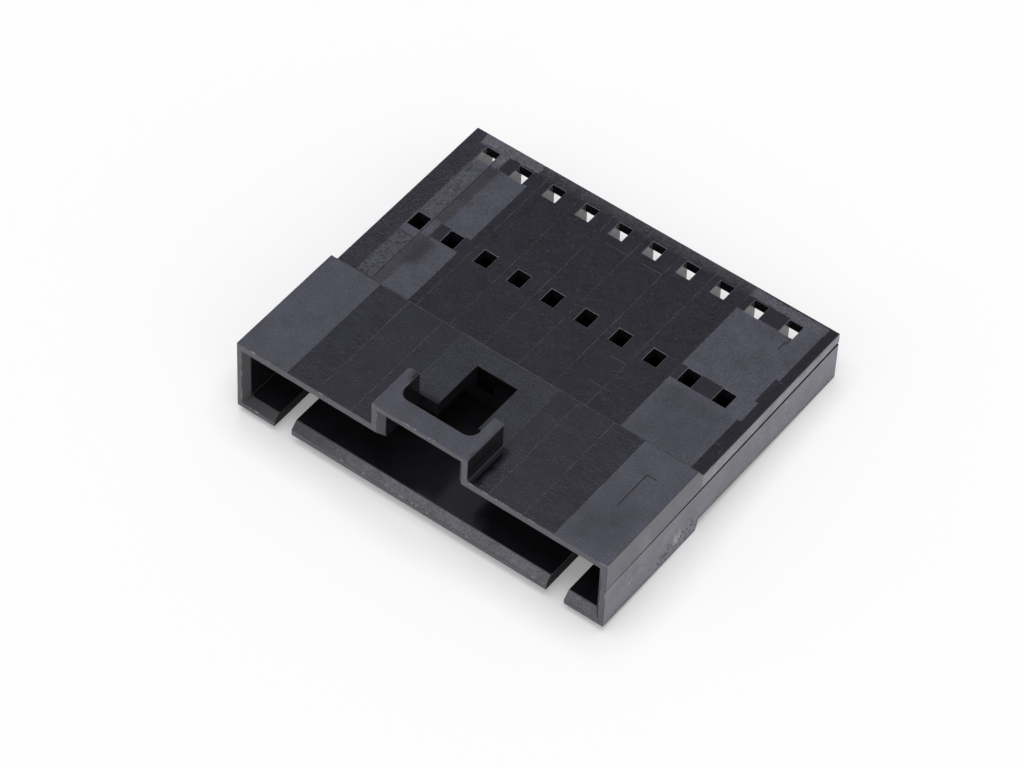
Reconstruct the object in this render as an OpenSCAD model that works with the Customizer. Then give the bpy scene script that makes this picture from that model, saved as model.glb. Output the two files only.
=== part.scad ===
// Crimp connector housing: one moulding, with a latched mating shroud in front
// and a block of terminal cavities behind it.
// +X runs along the row of circuits, +Y from the mating mouth to the wire end, +Z up.
// The origin lies under the middle of the housing, level with the shroud's feet.

/* [Circuits] */
// Number of circuits in the row
circuits = 10; // [7:1:20]
// Distance between neighbouring circuits
pitch = 2.54; // [2.3:0.01:3]
// Distance from an end circuit to the side of the body, before the row is shifted
end_margin = 2.24; // [2:0.01:3]
// Shift of the row of circuits from the middle of the body
row_shift = -0.27; // [-0.4:0.01:0.4]

/* [Body] */
// Length from the mating mouth to the wire end
body_l = 23.75; // [21:0.05:32]
// Height of the shroud around the mouth
shroud_h = 5.62; // [5:0.01:7]
// Length of the shroud's top, up to its ramp
shroud_l = 9.05; // [8:0.05:11]
// Length of the ramp from the shroud's top down to the block
top_ramp = 0.55; // [0.1:0.05:1.2]
// How much further back the ramp under the shroud starts
heel_lag = 0.2; // [0:0.05:1]
// Length of the ramp from the shroud's underside up to the block
heel_ramp = 0.25; // [0.1:0.05:1.2]
// Height of the block of terminal cavities
block_h = 3.95; // [3.5:0.01:4.7]

/* [Mouth] */
// Wall on each side of the mouth
side_wall = 0.75; // [0.6:0.01:1.2]
// Wall over the mouth
roof_wall = 1; // [0.6:0.05:1.3]
// Wall under the mouth, in the feet
floor_wall = 0.85; // [0.7:0.05:1.1]
// Distance from the mouth's back wall to the start of the top ramp
mouth_setback = 0.45; // [0.2:0.05:1.5]
// Lead-in chamfer over and under the mouth
lead_in = 0.5; // [0.1:0.05:0.6]
// Lead-in chamfer at the sides of the mouth
side_lead = 0.4; // [0.1:0.05:0.5]
// Width of each foot under the mouth
foot_w = 2.85; // [2:0.05:3.5]
// Width of the slot between a foot and the tongue
slot_w = 1.3; // [0.8:0.05:1.8]
// Height of the tongue above the feet's underside
tongue_lift = 0.22; // [0.05:0.01:0.6]
// Thickness of the tongue
tongue_t = 0.95; // [0.7:0.05:1.2]

/* [Latch bridge] */
// Width of the bridge over the latch
bridge_w = 7.07; // [6:0.01:9]
// Height of the bridge above the shroud
bridge_h = 1.88; // [1.4:0.01:2.6]
// Length of the bridge's legs
bridge_l = 3.62; // [3:0.01:5]
// Length of the plate that joins the legs
plate_l = 1.5; // [1:0.05:2]
// Thickness of the plate
plate_t = 0.9; // [0.6:0.05:1.1]
// Thickness of each leg
leg_t = 0.8; // [0.5:0.05:1]
// Radius in the corners between the plate and the legs
plate_r = 0.7; // [0.2:0.05:0.9]
// Radius on the outer corner of a leg's end
leg_r = 0.2; // [0.05:0.05:0.4]
// Radius along the root of the right leg
root_r = 0.3; // [0.1:0.05:0.6]
// Width of the latch slot behind the bridge
latch_w = 2.94; // [2:0.01:4]
// Shift of the latch slot from the middle of the body
latch_shift = 0.1; // [-0.3:0.01:0.3]
// Distance from the end of the latch slot to the start of the top ramp
latch_setback = 1.57; // [0.8:0.01:2.5]

/* [Terminal cavities] */
// Partition between neighbouring cavities
partition = 0.5; // [0.35:0.01:0.8]
// Least wall beside the end cavities
end_wall = 1.25; // [0.6:0.01:1.4]
// Wall over and under the cavities
block_wall = 0.75; // [0.5:0.01:1]
// Wall between the mouth and the cavities
stop_wall = 1.6; // [1:0.05:2.5]
// Side of the square hole that a contact's pin passes
pin_hole = 1.3; // [0.8:0.05:1.6]
// Width of a window over a cavity
window_w = 1; // [0.7:0.01:1.4]
// Length of a window over a cavity
window_l = 1.2; // [0.8:0.01:1.6]
// Distance from the wire end to the middle of the lance windows
lance_in = 8.52; // [6:0.01:9.5]
// Distance from the wire end to the middle of the rear windows
entry_in = 1.55; // [1.2:0.01:3]

/* [Parting line] */
// Width at the wire end of the groove along the parting line, on both sides
seam_w = 0.17; // [0.05:0.01:0.3]
// Width of that groove at the mouth
seam_front_w = 0.07; // [0.04:0.01:0.3]
// Depth of that groove
seam_d = 0.1; // [0.02:0.01:0.2]
// Distance from the block's top to the parting line at the wire end
seam_drop = 0.82; // [0.5:0.01:1.5]
// Rise of the parting line from the mouth to the wire end
seam_rise = 0.64; // [0:0.01:1]

/* [Hidden] */
$fn = 64;
// How far a cut runs past the face that it opens
past = 0.5;

body_w = (circuits - 1) * pitch + 2 * end_margin;
front = -body_l / 2;
rear = body_l / 2;
step_h = (shroud_h - block_h) / 2;
block_top = shroud_h - step_h;
ramp_y = front + shroud_l;
heel_y = ramp_y + heel_lag;

mouth_back = ramp_y - mouth_setback;
mouth_right = body_w / 2 - side_wall;
mouth_floor = tongue_lift + tongue_t;
mouth_roof = shroud_h - roof_wall;
mouth_mid = (mouth_floor + mouth_roof) / 2;
tongue_w = body_w - 2 * (foot_w + slot_w);
slot_x = (tongue_w + slot_w) / 2;

bridge_top = shroud_h + bridge_h;
tunnel_w = bridge_w - 2 * leg_t;
latch_end = ramp_y - latch_setback;

cavity_w = pitch - partition;
cavity_h = block_h - 2 * block_wall;
cavity_front = mouth_back + stop_wall;
cavity_z = step_h + block_wall + cavity_h / 2;
window_rows = [rear - lance_in, rear - entry_in];

// Middle of each circuit along the row
function circuit_x() = [for (i = [0 : circuits - 1]) row_shift + (i - (circuits - 1) / 2) * pitch];

// Outline of an opening that flares at the mouth, as [across, along] points
function flared(low, high, back, lead) = [
    [low - lead - past, front - past],
    [high + lead + past, front - past],
    [high, front + lead],
    [high, back],
    [low, back],
    [low, front + lead]
];

// Height of the parting line at y
function seam_z(y) = block_top - seam_drop - seam_rise * (rear - y) / body_l;

// Half the width of its groove at y
function seam_half(y) = (seam_front_w + (seam_w - seam_front_w) * (y - front) / body_l) / 2;

// Stands an outline drawn in [Y, Z] on the X axis and makes it w wide
module across(x, w) {
    translate([x, 0, 0])
        rotate([90, 0, 90])
            linear_extrude(w)
                children();
}

// A rectangular opening from the mouth to back, with a lead-in on all four sides
module flared_opening(x0, x1, z0, z1, back) {
    flare = max(lead_in, side_lead) + past;
    intersection() {
        translate([0, 0, z0 - flare])
            linear_extrude(z1 - z0 + 2 * flare)
                polygon(flared(x0, x1, back, side_lead));
        across(x0 - flare, x1 - x0 + 2 * flare)
            polygon([for (p = flared(z0, z1, back, lead_in)) [p[1], p[0]]]);
    }
}

// Shroud and block in one section
module body_blank() {
    across(-body_w / 2, body_w)
        polygon([
            [front, 0],
            [heel_y, 0],
            [heel_y + heel_ramp, step_h],
            [rear, step_h],
            [rear, block_top],
            [ramp_y + top_ramp, block_top],
            [ramp_y, shroud_h],
            [front, shroud_h]
        ]);
}

// Plan of the bridge: a plate across the front with two legs behind it
module bridge_plan() {
    difference() {
        union() {
            translate([-bridge_w / 2, 0]) square([bridge_w, bridge_l - leg_r]);
            translate([leg_r - bridge_w / 2, 0]) square([bridge_w - 2 * leg_r, bridge_l]);
            for (side = [-1, 1])
                translate([side * (bridge_w / 2 - leg_r), bridge_l - leg_r]) circle(leg_r);
        }
        translate([-tunnel_w / 2, plate_l + plate_r]) square([tunnel_w, bridge_l]);
        translate([plate_r - tunnel_w / 2, plate_l]) square([tunnel_w - 2 * plate_r, bridge_l]);
        for (side = [-1, 1])
            translate([side * (tunnel_w / 2 - plate_r), plate_l + plate_r]) circle(plate_r);
    }
}

// Bridge with the rounded root of its right leg
module bridge_blank() {
    translate([0, front, mouth_roof])
        linear_extrude(bridge_top - mouth_roof)
            bridge_plan();
    translate([bridge_w / 2, front + bridge_l - leg_r, shroud_h])
        rotate([90, 0, 0])
            linear_extrude(bridge_l - leg_r)
                difference() {
                    square(root_r);
                    translate([root_r, root_r]) circle(root_r);
                }
}

// Inside of the shroud: over the tongue, over the two feet, and the tunnel under the bridge
module mouth() {
    flared_opening(-mouth_right, mouth_right, mouth_floor, mouth_roof, mouth_back);
    flared_opening(-mouth_right, -slot_x, floor_wall, mouth_mid, mouth_back);
    flared_opening(slot_x, mouth_right, floor_wall, mouth_mid, mouth_back);
    flared_opening(-tunnel_w / 2, tunnel_w / 2, mouth_mid, bridge_top - plate_t, front + bridge_l);
}

// Slots beside the tongue, and the room under it
module tongue_cuts() {
    cut_l = mouth_back - front + past;
    for (side = [-1, 1])
        translate([side * slot_x - slot_w / 2, front - past, -past])
            cube([slot_w, cut_l, mouth_mid + past]);
    translate([-slot_x, front - past, -past])
        cube([2 * slot_x, cut_l, tongue_lift + past]);
}

// Slot in the roof that the latch of the mating half rises into
module latch_slot() {
    start = front + bridge_l - past;
    translate([latch_shift - latch_w / 2, start, mouth_mid])
        cube([latch_w, latch_end - start, shroud_h + past - mouth_mid]);
}

// Cavities open at the wire end, each with a pin hole into the mouth
module cavities() {
    intersection() {
        for (x = circuit_x())
            translate([x - cavity_w / 2, cavity_front, cavity_z - cavity_h / 2])
                cube([cavity_w, rear + past - cavity_front, cavity_h]);
        translate([end_wall - body_w / 2, cavity_front, 0])
            cube([body_w - 2 * end_wall, body_l, shroud_h]);
    }
    for (x = circuit_x())
        translate([x - pin_hole / 2, mouth_back - past, cavity_z - pin_hole / 2])
            cube([pin_hole, stop_wall + 2 * past, pin_hole]);
}

// Two rows of windows in the block's top
module windows() {
    for (x = circuit_x(), y = window_rows)
        translate([x - window_w / 2, y - window_l / 2, cavity_z])
            cube([window_w, window_l, block_top + past - cavity_z]);
}

// Groove along the parting line on each side
module parting_line() {
    start = front - past;
    end = rear + past;
    for (side = [-1, 1])
        across(side * body_w / 2 - seam_d, 2 * seam_d)
            polygon([
                [start, seam_z(start) - seam_half(start)],
                [end, seam_z(end) - seam_half(end)],
                [end, seam_z(end) + seam_half(end)],
                [start, seam_z(start) + seam_half(start)]
            ]);
}

module housing() {
    color("#2b2b30")
        difference() {
            union() {
                body_blank();
                bridge_blank();
            }
            mouth();
            tongue_cuts();
            latch_slot();
            cavities();
            windows();
            parting_line();
        }
}

housing();
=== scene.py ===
import math
from collections import namedtuple

import bpy
from mathutils import Matrix, Vector

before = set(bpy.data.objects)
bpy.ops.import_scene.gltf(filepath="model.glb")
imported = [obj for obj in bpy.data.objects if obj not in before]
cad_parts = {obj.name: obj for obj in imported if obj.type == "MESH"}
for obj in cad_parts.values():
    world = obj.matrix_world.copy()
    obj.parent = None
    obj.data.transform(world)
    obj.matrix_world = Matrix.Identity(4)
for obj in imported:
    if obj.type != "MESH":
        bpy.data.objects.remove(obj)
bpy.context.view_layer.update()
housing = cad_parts["housing"]

# One millimetre in metres
MM = 0.001

# Sizes of the moulding that its finish follows, in millimetres
PITCH = 2.54
FRONT = -11.875
REAR = 11.875
RIGHT = 13.67
HEEL = -2.625
RAMP_END = -2.275
WIRE_END = 8.0
BLOCK_BOTTOM = 0.835
BLOCK_TOP = 4.785
SHROUD_TOP = 5.62
ROOF_INSIDE = 4.65
LEAD_IN = 0.52
BRIDGE_TOP = 7.5
SHADED_UP_TO = BRIDGE_TOP - 0.2
MARKED_UP_TO = BRIDGE_TOP - 1.0
TONGUE_TOP = 1.1
SEAM_REAR = 3.965
SEAM_RISE = 0.64
SEAM_REACH = 0.14
FIRST_WITNESS = -7.64
WITNESS_REACH = 7.9
WITNESS_HALF = 0.045
LATCH_REACH = 3.5
EDGE_RADIUS = 0.035

# How near to a face or an edge counts as on it, and a depth past the seam's groove, in millimetres
NEAR = 0.1
NEARER = 0.05
PAST_GROOVE = 0.15

# The least part of a normal along a way if the face looks, leans or slopes that way, or is square to it
FACING = 0.5
LEANING = 0.3
SLOPING = 0.2
SQUARE = 0.95

# How the rounded edges are made: a merging distance in metres, and angles in degrees
WELD_REACH = 2e-6
FLAT_ANGLE = 0.5
EDGE_ANGLE = 35
CRISP_ANGLE = 12
EDGE_SEGMENTS = 3
EDGE_SLOT = 1

# The plastic, and the relief of its grain: a depth in millimetres and a share of the finish's grain
PLASTIC_IOR = 1.57
GRAIN_DEPTH = 0.010
GRAIN_SHARE = 0.6
MOTTLING = 0.3
LEAST_SHADE = 0.1
STREAK_ROUGHNESS = 0.08

# A look of the plastic: its colour and roughness, and the strength of its grain, streaks and pits; most
# are finishes of the mould, and some colours are painted light or shade, as noted where they stand
Finish = namedtuple("Finish", "colour roughness grain streaks pits")
INSIDE = Finish((0.009, 0.009, 0.011), 0.14, 0.05, 0.0, 0.0)
# Painted shade: near black and glossy on the latch slot's end and the roof's end under the bridge
SLOT_END_SHADE = Finish((0.002, 0.002, 0.003), 0.04, 0.0, 0.0, 0.0)
# Painted light: pale walls and floors in the cavities at the wire end, lit through their open ends
LIT_CAVITY = Finish((0.105, 0.105, 0.115), 0.14, 0.05, 0.0, 0.0)
POLISHED = Finish((0.009, 0.009, 0.015), 0.20, 0.9, 0.3, 0.0)
WALL = Finish((0.037, 0.037, 0.049), 0.30, 0.5, 0.0, 0.0)
# Paler on the lead-in faces: partly their rougher finish, partly painted light from above
LEAD_IN_FACE = Finish((0.084, 0.083, 0.098), 0.35, 0.6, 0.0, 0.0)
# Painted shade on the lead-in faces at the left end and on those that look right
PAINTED_SHADE_WALL = Finish((0.006, 0.006, 0.008), 0.35, 0.5, 0.0, 0.0)
# Painted light on the sides, for the white table that they reflect: a painted highlight on the block
# above the parting line, dimmer on the shroud above it, and less along the lower edge, where the pits
# are stronger
LIT_SIDE_WALL = Finish((0.095, 0.093, 0.120), 0.35, 0.4, 0.0, 0.0)
HIGHLIT_UPPER_WALL = Finish((0.170, 0.168, 0.185), 0.40, 0.4, 0.0, 0.0)
LIT_SHROUD_WALL = Finish((0.052, 0.051, 0.070), 0.35, 0.4, 0.0, 0.0)
LOWER_WALL = Finish((0.066, 0.066, 0.072), 0.45, 0.9, 0.0, 0.6)
# Pale scuffs on the right side, and a painted sheen in the same colour
SCUFF_AND_SHEEN = Finish((0.300, 0.300, 0.285), 0.50, 0.8, 0.0, 0.5)
DULL_BLACK = Finish((0.004, 0.004, 0.005), 1.00, 0.5, 0.0, 0.0)
# Painted light in the parting line's groove at the mouth, so that the groove looks faint there
SEAM_FRONT_LIGHT = Finish((0.300, 0.298, 0.320), 0.60, 0.2, 0.0, 0.0)
# Painted shade: near black and glossy on the right leg's rounded root
SHADED_LEG_ROOT = Finish((0.002, 0.002, 0.003), 0.05, 0.0, 0.0, 0.0)
FINISHES = {
    "brushed": Finish((0.012, 0.012, 0.020), 0.26, 0.7, 0.20, 0.0),
    "combed": Finish((0.012, 0.012, 0.020), 0.26, 0.6, 0.42, 0.0),
    "latch plate": Finish((0.019, 0.020, 0.028), 0.26, 0.6, 0.24, 0.0),
    "left strip": Finish((0.012, 0.012, 0.020), 0.27, 1.1, 0.0, 0.2),
    "right strip": Finish((0.007, 0.007, 0.012), 0.17, 0.8, 0.0, 0.0),
    "gap": Finish((0.023, 0.023, 0.032), 0.40, 0.8, 0.0, 0.0),
    "rear band": Finish((0.025, 0.024, 0.032), 0.35, 1.6, 0.0, 0.2),
    "spark pad": Finish((0.038, 0.038, 0.056), 0.55, 0.6, 0.0, 0.0),
    "dull pad": Finish((0.026, 0.026, 0.041), 0.55, 0.6, 0.0, 0.0),
    "speckled": Finish((0.034, 0.034, 0.050), 0.50, 0.8, 0.0, 0.8),
    "dappled": Finish((0.043, 0.043, 0.060), 0.50, 0.9, 0.0, 0.4),
    "pale": Finish((0.067, 0.066, 0.081), 0.45, 0.8, 0.0, 0.0),
    "end strip": Finish((0.052, 0.051, 0.065), 0.45, 0.9, 0.0, 0.0),
    "dark": Finish((0.010, 0.010, 0.016), 0.25, 0.4, 0.0, 0.0),
    "smear": Finish((0.014, 0.014, 0.020), 0.35, 0.6, 0.0, 0.0),
    # Painted shade: the roof at the end of the left leg by the latch slot, and right of the right leg,
    # where the legs shade it and darken its reflection
    "shade": Finish((0.001, 0.001, 0.002), 0.10, 0.2, 0.0, 0.0),
}

# Where each finish lies on the top, as (left, right, front, back) in millimetres
ZONES = {
    "brushed": [(-9.87, 9.83, -12.0, -2.82)],
    "combed": [(-9.87, -7.66, -12.0, -2.82), (7.55, 9.83, -12.0, -2.82)],
    "latch plate": [(-3.6, 3.58, -12.0, -2.2)],
    "left strip": [(-14.0, -12.2, -2.2, 12.0)],
    "right strip": [(12.7, 14.0, -2.2, 12.0)],
    "gap": [(-12.3, -10.2, -2.2, 11.1)],
    "rear band": [(-8.5, 7.7, 11.25, 13.0)],
    "spark pad": [
        (-14.0, -9.87, -12.0, -2.82),
        (9.83, 14.0, -12.0, -2.82),
        (-10.3, -8.27, -2.2, 2.72),
        (-10.3, -8.27, 4.02, 9.76),
        (-12.3, -11.05, 2.06, 4.05),
        (-11.1, -10.5, 2.6, 4.05),
        (7.62, 12.72, -2.2, 2.74),
        (7.62, 12.72, 4.0, 9.75),
        (10.66, 12.72, 2.4, 11.2),
        (12.5, 12.98, 2.48, 4.28),
        (12.5, 12.98, 6.5, 11.2),
    ],
    "dull pad": [(10.2, 13.0, -11.0, -7.0), (8.1, 12.3, -1.9, 2.3)],
    "speckled": [(-12.25, -11.08, -2.1, 2.03)],
    "dappled": [(-12.25, -11.08, 4.1, 9.8)],
    "pale": [(-11.1, -10.5, 9.8, 11.1), (-12.8, -8.4, 11.05, 12.0)],
    "end strip": [(7.6, 13.0, 11.02, 11.75)],
    "dark": [
        (-10.43, -9.6, 2.8, 4.0),
        (-10.5, -9.6, 9.8, 11.0),
        (7.62, 10.66, 2.76, 3.98),
        (7.62, 10.66, 9.78, 11.0),
        (12.72, 12.98, 4.28, 6.5),
    ],
    "smear": [(-10.65, -9.65, 0.1, 2.5), (-11.0, -10.35, 7.6, 9.9)],
    # Painted shade beside the bridge's legs
    "shade": [(-3.0, -1.3, -9.0, -8.05), (3.5, 4.15, -11.7, -8.5)],
}

# How soft the edges of a zone are, sharp or soft, and how far the soft ones wander, in millimetres
SHARP_ZONE = 0.05
SOFT_ZONES = {
    "left strip": 0.3,
    "gap": 0.15,
    "rear band": 1.0,
    "dull pad": 0.9,
    "pale": 0.12,
    "end strip": 0.12,
    "smear": 0.75,
    "shade": 0.5,
}
ZONE_STRAY = 0.12

# A kind of mark: the rectangles that it fills and how soft they are, in millimetres, and its strength
Marks = namedtuple("Marks", "places softness strength")

# Thin marks on the top, as (left, right, front, back)
THIN = 0.04
DARK_PLACES = [
    (-9.86, -7.66, -2.86, -2.80),
    (11.38, 11.47, -7.8, -4.85),
    (11.38, 12.12, -4.94, -4.85),
    (-12.1, -11.0, 2.0, 2.06),
    (-11.1, -11.04, -2.1, 9.8),
    (11.42, 11.50, 8.5, 9.3),
    (11.55, 11.63, 9.1, 9.7),
]
LINE_PLACES = [
    (-3.63, -3.57, -8.2, -2.2),
    (3.55, 3.61, -8.2, -2.2),
    (-3.6, 3.58, -2.24, -2.18),
]
SCRATCH_PLACES = [
    (-1.7, 0.0, 9.0, 9.04),
    (1.1, 2.5, 8.99, 9.05),
    (3.9, 5.0, 1.82, 1.86),
    (4.0, 5.4, -0.5, -0.46),
    (-7.67, -7.63, -6.0, -2.9),
    (6.13, 6.23, 5.36, 5.46),
    (-4.09, -3.99, 6.25, 6.35),
    (12.93, 13.03, 0.17, 0.27),
    (8.15, 8.25, -1.95, -1.85),
]
DARK_MARKS = Marks(DARK_PLACES, THIN, 0.75)
PALE_LINES = Marks(LINE_PLACES, THIN, 1.0)
SCRATCHES = Marks(SCRATCH_PLACES, THIN, 1.0)
DARK_MARK = (0.003, 0.003, 0.004)
DARK_ROUGHNESS = 0.12
PALE_MARK = (0.10, 0.10, 0.11)
PALE_SHARE = 0.4
SPECK_STRENGTH = 0.4

# The least and most strength of a pale line, and the wander at which it changes, as (middle, length)
LINE_STRENGTH = (0.16, 0.55)
LINE_BREAKS = (0.1, 0.5)

# Marks on the right side, as (front, back, bottom, top): the gate's scar, scratches, a painted sheen and
# spots
SCUFF_PLACES = [
    (-5.0, -4.2, 0.75, 1.8),
    (-9.46, -9.18, 1.6, 2.05),
    (6.40, 6.48, 1.9, 3.7),
    (10.1, 10.2, 1.8, 2.6),
]
SPOT_PLACES = [
    (-5.9, -5.6, 0.65, 0.9),
    (-6.5, -6.3, 0.35, 0.55),
    (-4.5, -4.2, 0.7, 1.0),
    (-3.9, -3.75, 0.9, 1.1),
    (-3.4, -3.2, 1.7, 1.9),
    (-3.1, -2.95, 1.2, 1.4),
]
SCUFFS = Marks(SCUFF_PLACES, 0.25, 0.7)
SHEEN = Marks([(-8.5, -7.6, 1.6, 4.9)], 0.6, 0.15)
SCUFF_SPOTS = Marks(SPOT_PLACES, 0.2, 0.6)
SCUFFED_EDGE = Marks([(-6.8, -2.7, 0.3, 1.3)], 0.8, 0.6)
SIDE_STRAY = 0.2

# The band along a side's lower edge and the inside of the groove, as (from, to, softness) in millimetres
LOW_BAND = (-1.0, 0.2, 0.6)
GROOVE_BAND = (0.01, PAST_GROOVE, 0.005)

# Places where one look passes into another, as (middle, length) in millimetres
OVER_SEAM = (0.1, 0.2)
FROM_SHROUD_TO_BLOCK = (RAMP_END, 0.3)
FAINT_SEAM = (-6.5, 9.0)
BLACK_SEAM = (7.0, 8.0)
BLACK_SEAM_EDGES = (-7.0, 12.0)
SHADED_LEAD_IN = (-7.5, 10.0)

# The strength of the painted shade on the lead-in faces that look right
RIGHT_SHADE = 0.8

# The rounded root of the right leg, as (left, right, front, back), and its top, in millimetres
ROOT = (3.5, 3.86, -12.0, -8.42)
ROOT_TOP = 5.95

# Edges in the shade of the bridge and of the latch slot, as (left, right, front, back)
SHADED_EDGES = [(-2.9, 2.9, FRONT + 0.4, -8.1), (-1.55, 1.75, -9.0, -4.25)]
EDGE_SOFTNESS = 0.02

# Colours and roughness of the edges, and the size of their nicks; the pale edge colours are partly wear
# and partly a painted highlight, and the groove's edge at the mouth is painted light
INSIDE_EDGE = (0.002, 0.002, 0.002)
LEAD_IN_EDGE = (0.040, 0.040, 0.046)
SHROUD_EDGE = (0.055, 0.055, 0.063)
BLOCK_EDGE = (0.090, 0.090, 0.100)
SEAM_EDGE_LIGHT = (0.150, 0.149, 0.160)
FRONT_EDGE = (0.072, 0.072, 0.082)
NICK = (0.24, 0.24, 0.25)
INSIDE_ROUGHNESS = 0.80
WORN_ROUGHNESS = 0.30
NICK_ROUGHNESS = 0.55
NICK_SHARE = 0.3
NICK_DEPTH = 0.01
NICK_STRENGTH = 0.5
EDGE_SPECULAR = 0.12

# The table: half its width in metres, and how much of its white is glow, also behind the housing
TABLE_HALF = 0.6
TABLE_WHITE = (0.9, 0.9, 0.9)
WHITE = (1.0, 1.0, 1.0)
TABLE_GLOW = 0.2
GLOW_BEHIND = 0.45

# The glow behind the housing, painted light that lifts its shadow there, across and along the table, as
# (from, to, softness) in millimetres
GLOW_ACROSS = (-16.0, 13.0, 6.0)
GLOW_ALONG = (13.0 - HEEL, 60.0, 4.0)

# The room: its colour, the way to its bright side, and where that and the horizon pass into it
ROOM = (0.25, 0.25, 0.27)
TO_BRIGHT_SIDE = (0.40, -0.75, -0.53)
BRIGHT_SIDE = (-0.05, 0.7)
HORIZON = (0.08, 0.06)

# The lamp, in metres and watts
LAMP_PLACE = (0.0, -0.02, 0.6)
LAMP_SIZE = 0.5
LAMP_POWER = 2.75

# The camera: its place in metres, its angles in degrees, and its lens in millimetres
CAMERA_PLACE = (0.107737, -0.158241, 0.222684)
CAMERA_TURN = 34.707
CAMERA_HEIGHT = 49.203
CAMERA_ROLL = 2.993
CAMERA_LENS = 170.47
CAMERA_SENSOR = 36.0
CAMERA_CLIP = 0.01

# What a finish depends on: the place on the housing in millimetres, and the mould's grain there
Surface = namedtuple("Surface", "tree patch x y z relief")


def node(tree, kind, inputs=None, **settings):
    """Adds a node, sets its properties, and links or sets its inputs."""
    made = tree.nodes.new(kind)
    for name, value in settings.items():
        setattr(made, name, value)
    for key, value in (inputs or {}).items():
        if isinstance(value, bpy.types.NodeSocket):
            tree.links.new(value, made.inputs[key])
        else:
            made.inputs[key].default_value = value
    return made


def calc(tree, operation, *values):
    """The result of a Math node."""
    return node(tree, "ShaderNodeMath", dict(enumerate(values)), operation=operation).outputs[0]


def more(tree, value, limit):
    """1 where the value is above the limit, and 0 elsewhere."""
    return calc(tree, "GREATER_THAN", value, limit)


def less(tree, value, limit):
    """1 where the value is below the limit, and 0 elsewhere."""
    return calc(tree, "LESS_THAN", value, limit)


def unsigned(tree, value):
    """The value without its sign."""
    return calc(tree, "ABSOLUTE", value)


def outside(tree, mask):
    """1 where the mask is 0, and 0 where it is 1."""
    return calc(tree, "SUBTRACT", 1.0, mask)


def blend_value(tree, mask, low, high):
    """low where the mask is 0 and high where it is 1."""
    return node(tree, "ShaderNodeMix", {0: mask, 2: low, 3: high}).outputs[0]


def blend_colour(tree, mask, under, over):
    """The colour under where the mask is 0 and the colour over where it is 1."""
    inputs = {0: mask, 6: under, 7: over}
    return node(tree, "ShaderNodeMix", inputs, data_type="RGBA").outputs[2]


def slope(tree, distance, length):
    """0.5 where the distance is 0, rising from 0 to 1 over that length."""
    inside = calc(tree, "ADD", calc(tree, "DIVIDE", distance, length), 0.5)
    return node(tree, "ShaderNodeClamp", {0: inside}).outputs[0]


def rising(tree, value, middle, length):
    """0 below the middle and 1 above it, with a slope of that length."""
    return slope(tree, calc(tree, "SUBTRACT", value, middle), length)


def falling(tree, value, middle, length):
    """1 below the middle and 0 above it, with a slope of that length."""
    return slope(tree, calc(tree, "SUBTRACT", middle, value), length)


def band(tree, value, low, high, softness):
    """1 where the value lies between low and high, with edges of that softness."""
    rise = calc(tree, "SUBTRACT", value, low)
    fall = calc(tree, "SUBTRACT", high, value)
    return slope(tree, calc(tree, "MINIMUM", rise, fall), softness)


def union(tree, *masks):
    """The largest of several masks."""
    total = masks[0]
    for mask in masks[1:]:
        total = calc(tree, "MAXIMUM", total, mask)
    return total


def both(tree, *masks):
    """The product of several masks or shares."""
    total = masks[0]
    for mask in masks[1:]:
        total = calc(tree, "MULTIPLY", total, mask)
    return total


def new_group(name, inputs, outputs):
    """An empty shader node group with those sockets, and its input and output nodes."""
    group = bpy.data.node_groups.new(name, "ShaderNodeTree")
    for socket, kind in inputs:
        group.interface.new_socket(socket, in_out="INPUT", socket_type=kind)
    for socket, kind in outputs:
        group.interface.new_socket(socket, in_out="OUTPUT", socket_type=kind)
    return group, group.nodes.new("NodeGroupInput"), group.nodes.new("NodeGroupOutput")


def use(tree, group, **inputs):
    """Places a node group in a tree."""
    named = {key.replace("_", " ").capitalize(): value for key, value in inputs.items()}
    return node(tree, "ShaderNodeGroup", named, node_tree=group).outputs


def colour(rgb):
    """A colour with full alpha."""
    return (*rgb, 1.0)


def patch_group():
    """A rectangle on a face."""
    names = ("Across", "Along", "Left", "Right", "Front", "Back", "Softness")
    inputs = [(name, "NodeSocketFloat") for name in names]
    group, given, out = new_group("Patch", inputs, [("Mask", "NodeSocketFloat")])
    g = given.outputs
    across = band(group, g["Across"], g["Left"], g["Right"], g["Softness"])
    along = band(group, g["Along"], g["Front"], g["Back"], g["Softness"])
    group.links.new(both(group, across, along), out.inputs["Mask"])
    return group


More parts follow.
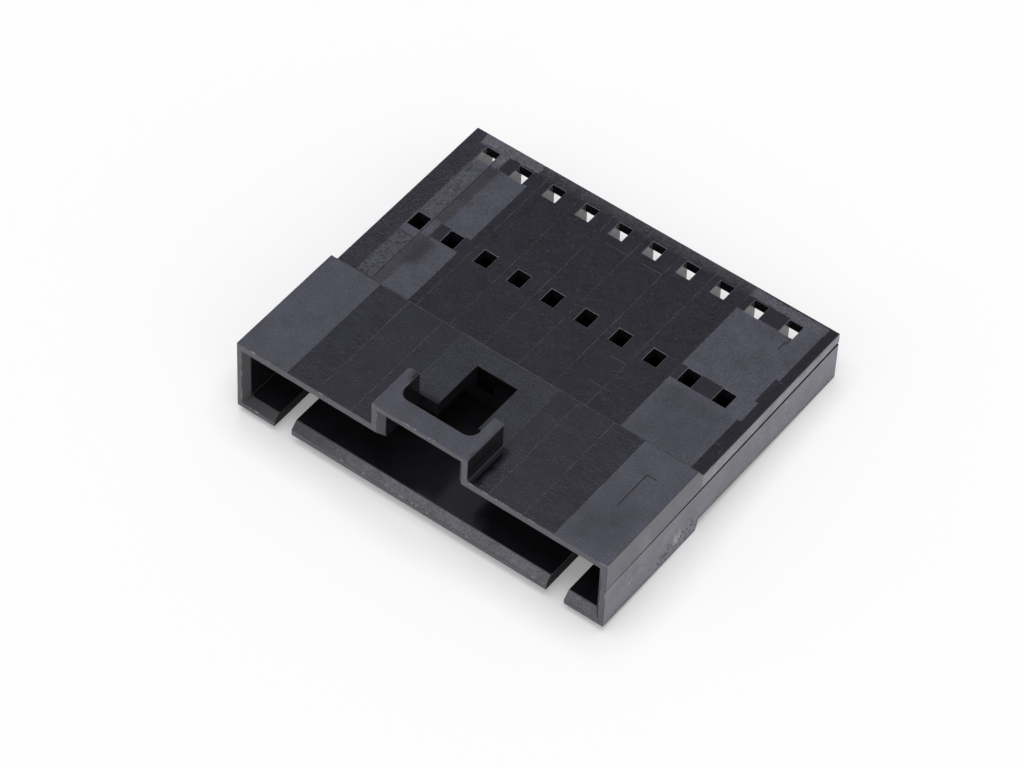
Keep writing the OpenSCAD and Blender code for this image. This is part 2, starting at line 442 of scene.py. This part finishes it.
def grain_group():
    """What a mould and use leave on plastic, and the wander of its marks and soft edges."""
    names = ("Grain", "Streaks", "Pits", "Specks", "Mottling", "Nicks", "Wander")
    outputs = [(name, "NodeSocketFloat") for name in names]
    group, given, out = new_group("Mould grain", [("Position", "NodeSocketVector")], outputs)
    place = given.outputs["Position"]

    def noise(scale, detail, stretch=(1, 1, 1)):
        stretched = {0: place, 1: stretch}
        moved = node(group, "ShaderNodeVectorMath", stretched, operation="MULTIPLY").outputs[0]
        inputs = {"Vector": moved, "Scale": scale, "Detail": detail, "Roughness": 0.6}
        return node(group, "ShaderNodeTexNoise", inputs).outputs[0]

    def even(value):
        return calc(group, "MULTIPLY", calc(group, "SUBTRACT", value, 0.5), 4.0)

    def dots(scale, radius, softness):
        cells = node(group, "ShaderNodeTexVoronoi", {"Vector": place, "Scale": scale})
        return falling(group, cells.outputs["Distance"], radius, softness)

    traces = {
        "Grain": even(noise(scale=8.0, detail=3.0)),
        "Streaks": even(noise(scale=6.0, detail=2.0, stretch=(0.25, 2.0, 2.0))),
        "Pits": dots(scale=3.6, radius=0.36, softness=0.15),
        "Specks": dots(scale=1.1, radius=0.09, softness=0.05),
        "Mottling": even(noise(scale=0.7, detail=3.0)),
        "Nicks": rising(group, noise(scale=3.0, detail=3.0), middle=0.60, length=0.06),
        "Wander": even(noise(scale=1.8, detail=2.0)),
    }
    for name, trace in traces.items():
        group.links.new(trace, out.inputs[name])
    return group


def millimetres(tree):
    """The place on an object in millimetres, as a vector and as its three parts."""
    object_place = node(tree, "ShaderNodeTexCoord").outputs["Object"]
    scaled = {0: object_place, "Scale": 1 / MM}
    place = node(tree, "ShaderNodeVectorMath", scaled, operation="SCALE").outputs[0]
    return place, node(tree, "ShaderNodeSeparateXYZ", {0: place}).outputs


def face_normal(tree):
    """The parts of the normal of a face, before any bump."""
    facing = node(tree, "ShaderNodeNewGeometry").outputs["True Normal"]
    return node(tree, "ShaderNodeSeparateXYZ", {0: facing}).outputs


def new_finish(name, patch, grain):
    """A new material of the housing, and the surface that its finish depends on."""
    material = bpy.data.materials.new(name)
    material.use_nodes = True
    tree = material.node_tree
    place, (x, y, z) = millimetres(tree)
    return material, Surface(tree, patch, x, y, z, use(tree, grain, position=place))


def plastic_shader(tree, tone, rough, normal):
    """Connects a finish to the shader of its material, and returns the shader."""
    shader = tree.nodes["Principled BSDF"]
    shader.inputs["IOR"].default_value = PLASTIC_IOR
    tree.links.new(tone, shader.inputs["Base Color"])
    tree.links.new(rough, shader.inputs["Roughness"])
    tree.links.new(normal, shader.inputs["Normal"])
    return shader


def rectangles(on, across, along, places, softness):
    """One mask for several rectangles on a face."""
    spot = {"across": across, "along": along, "softness": softness}
    masks = []
    for left, right, front, back in places:
        limits = {"left": left, "right": right, "front": front, "back": back}
        masks.append(use(on.tree, on.patch, **spot, **limits)["Mask"])
    return union(on.tree, *masks)


def marks(on, across, along, kind):
    """The mask of the marks of one kind, at their strength."""
    mask = rectangles(on, across, along, kind.places, kind.softness)
    return both(on.tree, mask, kind.strength)


def strayed(on, across, along, reach):
    """Two coordinates that wander by about the reach."""
    shift = both(on.tree, on.relief["Wander"], reach)
    return calc(on.tree, "ADD", across, shift), calc(on.tree, "SUBTRACT", along, shift)


def cover(tree, under, mask, finish):
    """The finish laid over another one where the mask is 1."""
    tone = blend_colour(tree, mask, under.colour, colour(finish.colour))
    rest = [blend_value(tree, mask, low, high) for low, high in zip(under[1:], finish[1:])]
    return Finish(tone, *rest)


def above_seam(on):
    """The height above the parting line."""
    rise = both(on.tree, calc(on.tree, "SUBTRACT", REAR, on.y), SEAM_RISE / (REAR - FRONT))
    return calc(on.tree, "ADD", calc(on.tree, "SUBTRACT", on.z, SEAM_REAR), rise)


def seam_strip(on):
    """The mask of a strip along the parting line."""
    return band(on.tree, above_seam(on), -SEAM_REACH, SEAM_REACH, EDGE_SOFTNESS)


def outer_walls(on, normal):
    """Masks of the front, of the sides without the block's groove, and of the rear and underside."""
    tree = on.tree
    front = both(tree, less(tree, normal["Y"], -LEANING), less(tree, on.y, FRONT + LEAD_IN))
    rear = both(tree, more(tree, normal["Y"], FACING), more(tree, on.y, REAR - NEAR))
    low = less(tree, on.z, BLOCK_BOTTOM + NEARER)
    below = both(tree, less(tree, normal["Z"], -SLOPING), low)
    on_shroud = less(tree, on.y, RAMP_END)
    limit = blend_value(tree, on_shroud, RIGHT - NEARER, RIGHT - PAST_GROOVE)
    sideways = more(tree, unsigned(tree, normal["X"]), FACING)
    sides = both(tree, sideways, more(tree, unsigned(tree, on.x), limit))
    return front, sides, union(tree, rear, below)


def inside_finish(on, normal):
    """The finish inside the mouth, with painted shade at the latch slot's end, the tongue's slots, and
    painted light in the cavities at the wire end.
    """
    tree = on.tree
    to_front = less(tree, normal["Y"], -FACING)
    sideways = more(tree, unsigned(tree, normal["X"]), FACING)
    finish = Finish(colour(INSIDE.colour), *INSIDE[1:])
    # Painted shade on the faces at the latch slot's end, which the bridge shades
    slot_end = both(tree, to_front, more(tree, on.z, ROOF_INSIDE))
    finish = cover(tree, finish, slot_end, SLOT_END_SHADE)
    slot_side = both(tree, sideways, less(tree, on.z, TONGUE_TOP), less(tree, on.y, HEEL))
    finish = cover(tree, finish, slot_side, DULL_BLACK)
    # Painted light in the cavities at the wire end
    in_cavity = both(tree, more(tree, on.y, WIRE_END), outside(tree, to_front))
    return cover(tree, finish, in_cavity, LIT_CAVITY)


def lay_walls(on, normal, front, hidden, finish):
    """Lays the front, the rear, the underside and the mouth's lead-in over the finish, with painted
    light on the lead-in, and painted shade at its left end and on its faces that look right.
    """
    tree = on.tree
    finish = cover(tree, finish, union(tree, front, hidden), WALL)
    lead_in = both(tree, front, more(tree, normal["Y"], -SQUARE))
    finish = cover(tree, finish, lead_in, LEAD_IN_FACE)
    # Painted shade at the lead-in's left end and on its faces that look right
    at_left = falling(tree, on.x, *SHADED_LEAD_IN)
    to_right = both(tree, more(tree, normal["X"], LEANING), RIGHT_SHADE)
    shaded = both(tree, lead_in, union(tree, at_left, to_right))
    return cover(tree, finish, shaded, PAINTED_SHADE_WALL)


def side_bands(on):
    """Masks above the parting line, on the shroud and on the block, and along the lower edge."""
    tree = on.tree
    above = rising(tree, above_seam(on), *OVER_SEAM)
    on_block = rising(tree, on.y, *FROM_SHROUD_TO_BLOCK)
    edge = blend_value(tree, more(tree, on.y, HEEL), 0.0, BLOCK_BOTTOM)
    low = band(tree, calc(tree, "SUBTRACT", on.z, edge), *LOW_BAND)
    return both(tree, above, outside(tree, on_block)), both(tree, above, on_block), low


def side_marks(on):
    """Masks of the pale scuff marks and a painted sheen on the right side, and of the dark spots beside
    them.
    """
    tree = on.tree
    along, up = strayed(on, on.y, on.z, SIDE_STRAY)
    right_side = more(tree, on.x, 0.0)
    scuffs_and_sheen = union(tree, marks(on, along, up, SCUFFS), marks(on, along, up, SHEEN))
    specks = both(tree, marks(on, along, up, SCUFFED_EDGE), on.relief["Pits"])
    spots = union(tree, marks(on, along, up, SCUFF_SPOTS), specks)
    return both(tree, right_side, scuffs_and_sheen), both(tree, right_side, spots)


def lay_sides(on, sides, finish):
    """Lays the sides over the finish: painted light for the table that they reflect, brighter above the
    parting line on the block and dimmer on the shroud, less along the lower edge, and their marks.
    """
    tree = on.tree
    shroud_band, block_band, low_band = side_bands(on)
    scuffs_and_sheen, spots = side_marks(on)
    # Painted light on the sides, with a painted highlight on the block above the parting line
    finish = cover(tree, finish, sides, LIT_SIDE_WALL)
    layers = [(shroud_band, LIT_SHROUD_WALL), (low_band, LOWER_WALL), (block_band, HIGHLIT_UPPER_WALL)]
    layers += [(scuffs_and_sheen, SCUFF_AND_SHEEN), (spots, DULL_BLACK)]
    for mask, layer in layers:
        finish = cover(tree, finish, both(tree, sides, mask), layer)
    return finish


def lay_seam(on, finish):
    """Lays the parting line's groove over the finish: pale with painted light at the mouth, black at the
    wire end.
    """
    tree = on.tree
    depth = calc(tree, "SUBTRACT", RIGHT, unsigned(tree, on.x))
    behind_front = more(tree, on.y, FRONT + NEARER)
    groove = both(tree, seam_strip(on), band(tree, depth, *GROOVE_BAND), behind_front)
    # Painted light in the groove at the mouth
    pale = both(tree, groove, falling(tree, on.y, *FAINT_SEAM))
    finish = cover(tree, finish, pale, SEAM_FRONT_LIGHT)
    black = both(tree, groove, rising(tree, on.y, *BLACK_SEAM))
    return cover(tree, finish, black, DULL_BLACK)


def lay_zones(on, top, bridge_top, finish):
    """Lays the zones of the top over the finish, one over another, the last being painted shade beside
    the bridge's legs.
    """
    tree = on.tree
    wandering = strayed(on, on.x, on.y, ZONE_STRAY)
    for name, layer in FINISHES.items():
        across, along = wandering if name in SOFT_ZONES else (on.x, on.y)
        softness = SOFT_ZONES.get(name, SHARP_ZONE)
        mask = both(tree, rectangles(on, across, along, ZONES[name], softness), top)
        if name == "spark pad":
            mask = union(tree, mask, bridge_top)
        finish = cover(tree, finish, mask, layer)
    return finish


def leg_root(on):
    """The mask of the rounded root of the right leg."""
    place = rectangles(on, on.x, on.y, [ROOT], EDGE_SOFTNESS)
    above_shroud = more(on.tree, on.z, SHROUD_TOP - NEARER)
    return both(on.tree, place, less(on.tree, on.z, ROOT_TOP), above_shroud)


def witness_lines(on):
    """Thin lines along the housing, one pitch apart, where the mould's blocks meet."""
    tree = on.tree
    across = calc(tree, "PINGPONG", calc(tree, "SUBTRACT", on.x, FIRST_WITNESS), PITCH / 2)
    line = falling(tree, across, WITNESS_HALF, THIN)
    reach = band(tree, on.x, -WITNESS_REACH, WITNESS_REACH, NEAR)
    beside_latch = more(tree, unsigned(tree, on.x), LATCH_REACH)
    on_block = more(tree, on.y, RAMP_END)
    return both(tree, line, reach, union(tree, beside_latch, on_block))


def top_marks(on, top):
    """Masks of the dark and of the pale marks on the shroud and the block."""
    tree = on.tree
    marked = both(tree, top, less(tree, on.z, MARKED_UP_TO))
    lines = union(tree, marks(on, on.x, on.y, PALE_LINES), witness_lines(on))
    broken = blend_value(tree, rising(tree, on.relief["Wander"], *LINE_BREAKS), *LINE_STRENGTH)
    specks = both(tree, on.relief["Specks"], SPECK_STRENGTH)
    pale = union(tree, marks(on, on.x, on.y, SCRATCHES), both(tree, lines, broken), specks)
    dark = both(tree, marks(on, on.x, on.y, DARK_MARKS), marked)
    return dark, both(tree, pale, marked, PALE_SHARE)


def marked_colour(on, finish, dark, pale):
    """The finish's colour with its grain, streaks, mottling and pits, and with the marks on it."""
    tree = on.tree
    grainy = both(tree, on.relief["Grain"], finish.grain)
    streaky = both(tree, on.relief["Streaks"], finish.streaks)
    pitted = both(tree, on.relief["Pits"], finish.pits)
    mottled = both(tree, on.relief["Mottling"], MOTTLING)
    lighter = calc(tree, "ADD", calc(tree, "ADD", grainy, streaky), mottled)
    shade = calc(tree, "ADD", calc(tree, "SUBTRACT", lighter, pitted), 1.0)
    shade = calc(tree, "MAXIMUM", shade, LEAST_SHADE)
    shaded = {0: finish.colour, "Scale": shade}
    tone = node(tree, "ShaderNodeVectorMath", shaded, operation="SCALE").outputs[0]
    tone = blend_colour(tree, dark, tone, colour(DARK_MARK))
    return blend_colour(tree, pale, tone, colour(PALE_MARK))


def marked_roughness(on, finish, dark):
    """The finish's roughness with its streaks, and with the dark marks on it."""
    tree = on.tree
    streaky = both(tree, on.relief["Streaks"], finish.streaks, STREAK_ROUGHNESS)
    return blend_value(tree, dark, calc(tree, "ADD", finish.roughness, streaky), DARK_ROUGHNESS)


def mould_bump(on, finish):
    """The normal bent by the finish's grain, and by its pits as holes."""
    depth = GRAIN_DEPTH * MM
    uneven = {"Height": on.relief["Grain"], "Distance": depth}
    uneven["Strength"] = both(on.tree, finish.grain, GRAIN_SHARE)
    grainy = node(on.tree, "ShaderNodeBump", uneven).outputs[0]
    holes = {"Height": on.relief["Pits"], "Distance": depth, "Normal": grainy}
    holes["Strength"] = finish.pits
    return node(on.tree, "ShaderNodeBump", holes, invert=True).outputs[0]


def housing_plastic(patch, grain):
    """Black moulded plastic, with the polished and spark-eroded zones of its mould, and painted light
    and shade on its sides, lead-ins, cavities, groove and roof.
    """
    material, on = new_finish("housing_plastic_and_painted_light", patch, grain)
    tree = on.tree
    normal = face_normal(tree)
    facing_up = more(tree, normal["Z"], FACING)
    top = both(tree, facing_up, more(tree, on.z, ROOF_INSIDE))
    bridge_top = both(tree, facing_up, more(tree, on.z, BRIDGE_TOP - NEAR))
    front, sides, hidden = outer_walls(on, normal)
    finish = cover(tree, inside_finish(on, normal), top, POLISHED)
    finish = lay_walls(on, normal, front, hidden, finish)
    finish = lay_sides(on, sides, finish)
    finish = lay_seam(on, finish)
    finish = lay_zones(on, top, bridge_top, finish)
    # Painted shade on the right leg's rounded root
    finish = cover(tree, finish, leg_root(on), SHADED_LEG_ROOT)
    dark, pale = top_marks(on, top)
    tone = marked_colour(on, finish, dark, pale)
    plastic_shader(tree, tone, marked_roughness(on, finish, dark), mould_bump(on, finish))
    return material


def exposed_edges(on, at_front, on_block):
    """Masks of the edges that are touched in use and carry a painted highlight, without those in painted
    shade, and of the groove's edges at the mouth, which carry painted light.
    """
    tree = on.tree
    on_shroud = more(tree, on.z, SHROUD_TOP - NEAR)
    at_side = more(tree, unsigned(tree, on.x), RIGHT - NEAR)
    seam = seam_strip(on)
    seam_front_light = both(tree, seam, at_side, falling(tree, on.y, *FAINT_SEAM))
    black_seam = both(tree, seam, rising(tree, on.y, *BLACK_SEAM_EDGES))
    at_side = both(tree, at_side, outside(tree, black_seam))
    shaded = rectangles(on, on.x, on.y, SHADED_EDGES, EDGE_SOFTNESS)
    shaded = both(tree, shaded, less(tree, on.z, SHADED_UP_TO))
    exposed = union(tree, at_front, on_shroud, on_block, at_side)
    return both(tree, exposed, outside(tree, shaded)), seam_front_light


def worn_and_highlit_edges(patch, grain):
    """The rounded edges: dark inside and in painted shade under the bridge and in the latch slot, paler
    and nicked where hands and other parts touch them, the paler colour also being a painted highlight.
    """
    material, on = new_finish("worn_and_highlit_edges", patch, grain)
    tree = on.tree
    nicks = on.relief["Nicks"]
    at_front = less(tree, on.y, FRONT + NEAR)
    at_lead_in = less(tree, on.y, FRONT + LEAD_IN + NEAR)
    behind_ramp = more(tree, on.y, RAMP_END - NEAR)
    on_block = both(tree, more(tree, on.z, BLOCK_TOP - NEAR), behind_ramp)
    exposed, seam_front_light = exposed_edges(on, at_front, on_block)
    pale = blend_colour(tree, on_block, colour(SHROUD_EDGE), colour(BLOCK_EDGE))
    pale = blend_colour(tree, seam_front_light, pale, colour(SEAM_EDGE_LIGHT))
    pale = blend_colour(tree, at_front, pale, colour(FRONT_EDGE))
    plain = blend_colour(tree, at_lead_in, colour(INSIDE_EDGE), colour(LEAD_IN_EDGE))
    tone = blend_colour(tree, exposed, plain, pale)
    nicked = both(tree, nicks, union(tree, at_front, both(tree, exposed, NICK_SHARE)))
    tone = blend_colour(tree, nicked, tone, colour(NICK))
    worn = blend_value(tree, nicked, WORN_ROUGHNESS, NICK_ROUGHNESS)
    rough = blend_value(tree, exposed, INSIDE_ROUGHNESS, worn)
    dent = {"Height": nicks, "Distance": NICK_DEPTH * MM, "Strength": NICK_STRENGTH}
    dented = node(tree, "ShaderNodeBump", dent).outputs[0]
    shader = plastic_shader(tree, tone, rough, dented)
    shader.inputs["Specular IOR Level"].default_value = EDGE_SPECULAR
    return material


def dress_housing():
    """Rounds the moulding's edges and gives it its finish."""
    weld = housing.modifiers.new("weld", "WELD")
    weld.merge_threshold = WELD_REACH
    flat = housing.modifiers.new("flat_faces", "DECIMATE")
    flat.decimate_type = "DISSOLVE"
    flat.angle_limit = math.radians(FLAT_ANGLE)
    rounded = housing.modifiers.new("rounded_edges", "BEVEL")
    rounded.width = EDGE_RADIUS * MM
    rounded.segments = EDGE_SEGMENTS
    rounded.limit_method = "ANGLE"
    rounded.angle_limit = math.radians(EDGE_ANGLE)
    rounded.use_clamp_overlap = False
    rounded.material = EDGE_SLOT
    crisp = housing.modifiers.new("crisp_facets", "EDGE_SPLIT")
    crisp.split_angle = math.radians(CRISP_ANGLE)
    crisp.use_edge_sharp = False
    patch = patch_group()
    grain = grain_group()
    housing.material_slots[0].material = housing_plastic(patch, grain)
    housing.data.materials.append(worn_and_highlit_edges(patch, grain))


def table_top():
    """A white table under the heel and the wire end, on which the housing rests."""
    half = TABLE_HALF
    corners = [(-half, -half, 0), (half, -half, 0), (half, half, 0), (-half, half, 0)]
    mesh = bpy.data.meshes.new("table_top")
    mesh.from_pydata(corners, [], [(0, 1, 2, 3)])
    table = bpy.data.objects.new("table_top", mesh)
    table.location = (0, HEEL * MM, 0)
    tilt = math.atan2(BLOCK_BOTTOM, REAR - HEEL)
    table.rotation_euler = (tilt, 0, 0)
    bpy.context.scene.collection.objects.link(table)
    mesh.materials.append(white_table())


def white_table():
    """Matt white that the camera sees as white, with the housing's shadow kept, except behind the
    housing, where painted light lifts it.
    """
    material = bpy.data.materials.new("white_table")
    material.use_nodes = True
    tree = material.node_tree
    tree.nodes.clear()
    rays = node(tree, "ShaderNodeLightPath").outputs
    seen = union(tree, rays["Is Camera Ray"], rays["Is Glossy Ray"], rays["Is Transmission Ray"])
    white = node(tree, "ShaderNodeBsdfDiffuse", {"Color": colour(TABLE_WHITE)}).outputs[0]
    glow = node(tree, "ShaderNodeEmission", {"Color": colour(WHITE), "Strength": 1.0}).outputs[0]
    _, (x, y, _) = millimetres(tree)
    # Painted light: more glow on the table behind the housing, which lifts its shadow there
    behind = both(tree, band(tree, x, *GLOW_ACROSS), band(tree, y, *GLOW_ALONG))
    share = both(tree, seen, blend_value(tree, behind, TABLE_GLOW, GLOW_BEHIND))
    surface = node(tree, "ShaderNodeMixShader", {0: share, 1: white, 2: glow}).outputs[0]
    back = node(tree, "ShaderNodeNewGeometry").outputs["Backfacing"]
    clear = node(tree, "ShaderNodeBsdfTransparent").outputs[0]
    one_sided = node(tree, "ShaderNodeMixShader", {0: back, 1: surface, 2: clear}).outputs[0]
    node(tree, "ShaderNodeOutputMaterial", {"Surface": one_sided})
    return material


def studio():
    """A dim room with a white horizon and a bright side."""
    world = bpy.data.worlds.new("studio")
    bpy.context.scene.world = world
    world.use_nodes = True
    tree = world.node_tree
    direction = node(tree, "ShaderNodeTexCoord").outputs["Generated"]
    height = node(tree, "ShaderNodeSeparateXYZ", {0: direction}).outputs["Z"]
    turned = {0: direction, 1: Vector(TO_BRIGHT_SIDE).normalized()}
    facing = node(tree, "ShaderNodeVectorMath", turned, operation="DOT_PRODUCT").outputs["Value"]
    bright = union(tree, rising(tree, facing, *BRIGHT_SIDE), falling(tree, height, *HORIZON))
    sky = blend_colour(tree, bright, colour(ROOM), colour(WHITE))
    tree.links.new(sky, tree.nodes["Background"].inputs["Color"])


def softbox():
    """One broad lamp above the housing."""
    lamp = bpy.data.lights.new("softbox", "AREA")
    lamp.shape = "SQUARE"
    lamp.size = LAMP_SIZE
    lamp.energy = LAMP_POWER
    hung = bpy.data.objects.new("softbox", lamp)
    hung.location = LAMP_PLACE
    hung.rotation_euler = (-hung.location).to_track_quat("-Z", "Y").to_euler()
    bpy.context.scene.collection.objects.link(hung)


def camera():
    """The photograph's viewpoint: a long lens, turned, tilted and rolled as measured."""
    lens = bpy.data.cameras.new("camera")
    lens.lens = CAMERA_LENS
    lens.sensor_width = CAMERA_SENSOR
    lens.clip_start = CAMERA_CLIP
    viewer = bpy.data.objects.new("camera", lens)
    turn, height_angle, roll = map(math.radians, (CAMERA_TURN, CAMERA_HEIGHT, CAMERA_ROLL))
    turned = Matrix.Rotation(turn, 4, "Z") @ Matrix.Rotation(math.pi / 2 - height_angle, 4, "X")
    place = Matrix.Translation(CAMERA_PLACE)
    viewer.matrix_world = place @ turned @ Matrix.Rotation(roll, 4, "Z")
    bpy.context.scene.collection.objects.link(viewer)
    bpy.context.scene.camera = viewer


dress_housing()
table_top()
studio()
softbox()
camera()
bpy.context.scene.view_settings.view_transform = "Standard"
